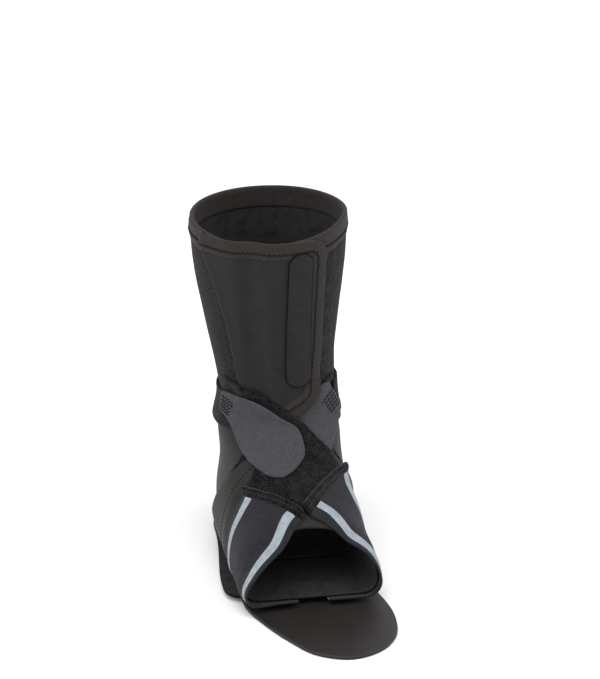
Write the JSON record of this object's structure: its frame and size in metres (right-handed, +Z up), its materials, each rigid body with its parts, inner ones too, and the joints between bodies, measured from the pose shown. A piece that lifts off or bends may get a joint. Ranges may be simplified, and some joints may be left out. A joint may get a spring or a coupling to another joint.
{
  "type": "ankle brace",
  "caption": "Soft ankle brace for a right foot: stiff footplate, heel boot, calf sleeve with a front closure panel, crossed elastic straps and an ankle strap with two tabs.",
  "frame": {"origin": "on the underside of the footplate, below the ankle axis", "axes": "+Z up along the leg, -Y towards the toes, +X towards the inner side of the foot"},
  "size_m": [0.1091, 0.255, 0.2321],
  "materials": {
    "plastic": "smooth moulded",
    "loop_cloth": "brushed loop pile",
    "neoprene": "smooth knit over foam",
    "panel_cloth": "matte smooth laminate",
    "binding_tape": "folded tape with zigzag stitches",
    "elastic_knit": "ribbed elastic with two pale stripes",
    "hook_cloth": "short hook pile"
  },
  "bodies": {
    "root": {"footplate": "plastic", "sole_cover": "loop_cloth", "heel_boot": "neoprene", "calf_sleeve": "loop_cloth", "sleeve_top_binding": "binding_tape", "foot_wrap": "neoprene", "wrap_binding_lateral": "binding_tape", "wrap_binding_medial": "binding_tape", "lateral_loop_strap": "loop_cloth", "medial_loop_strap": "loop_cloth", "lateral_elastic": "elastic_knit", "medial_elastic": "elastic_knit", "ankle_strap": "elastic_knit", "lateral_tab": "hook_cloth", "medial_tab": "hook_cloth", "front_panel": "panel_cloth", "panel_binding": "binding_tape", "closure_patch": "panel_cloth"}
  },
  "joints": []
}
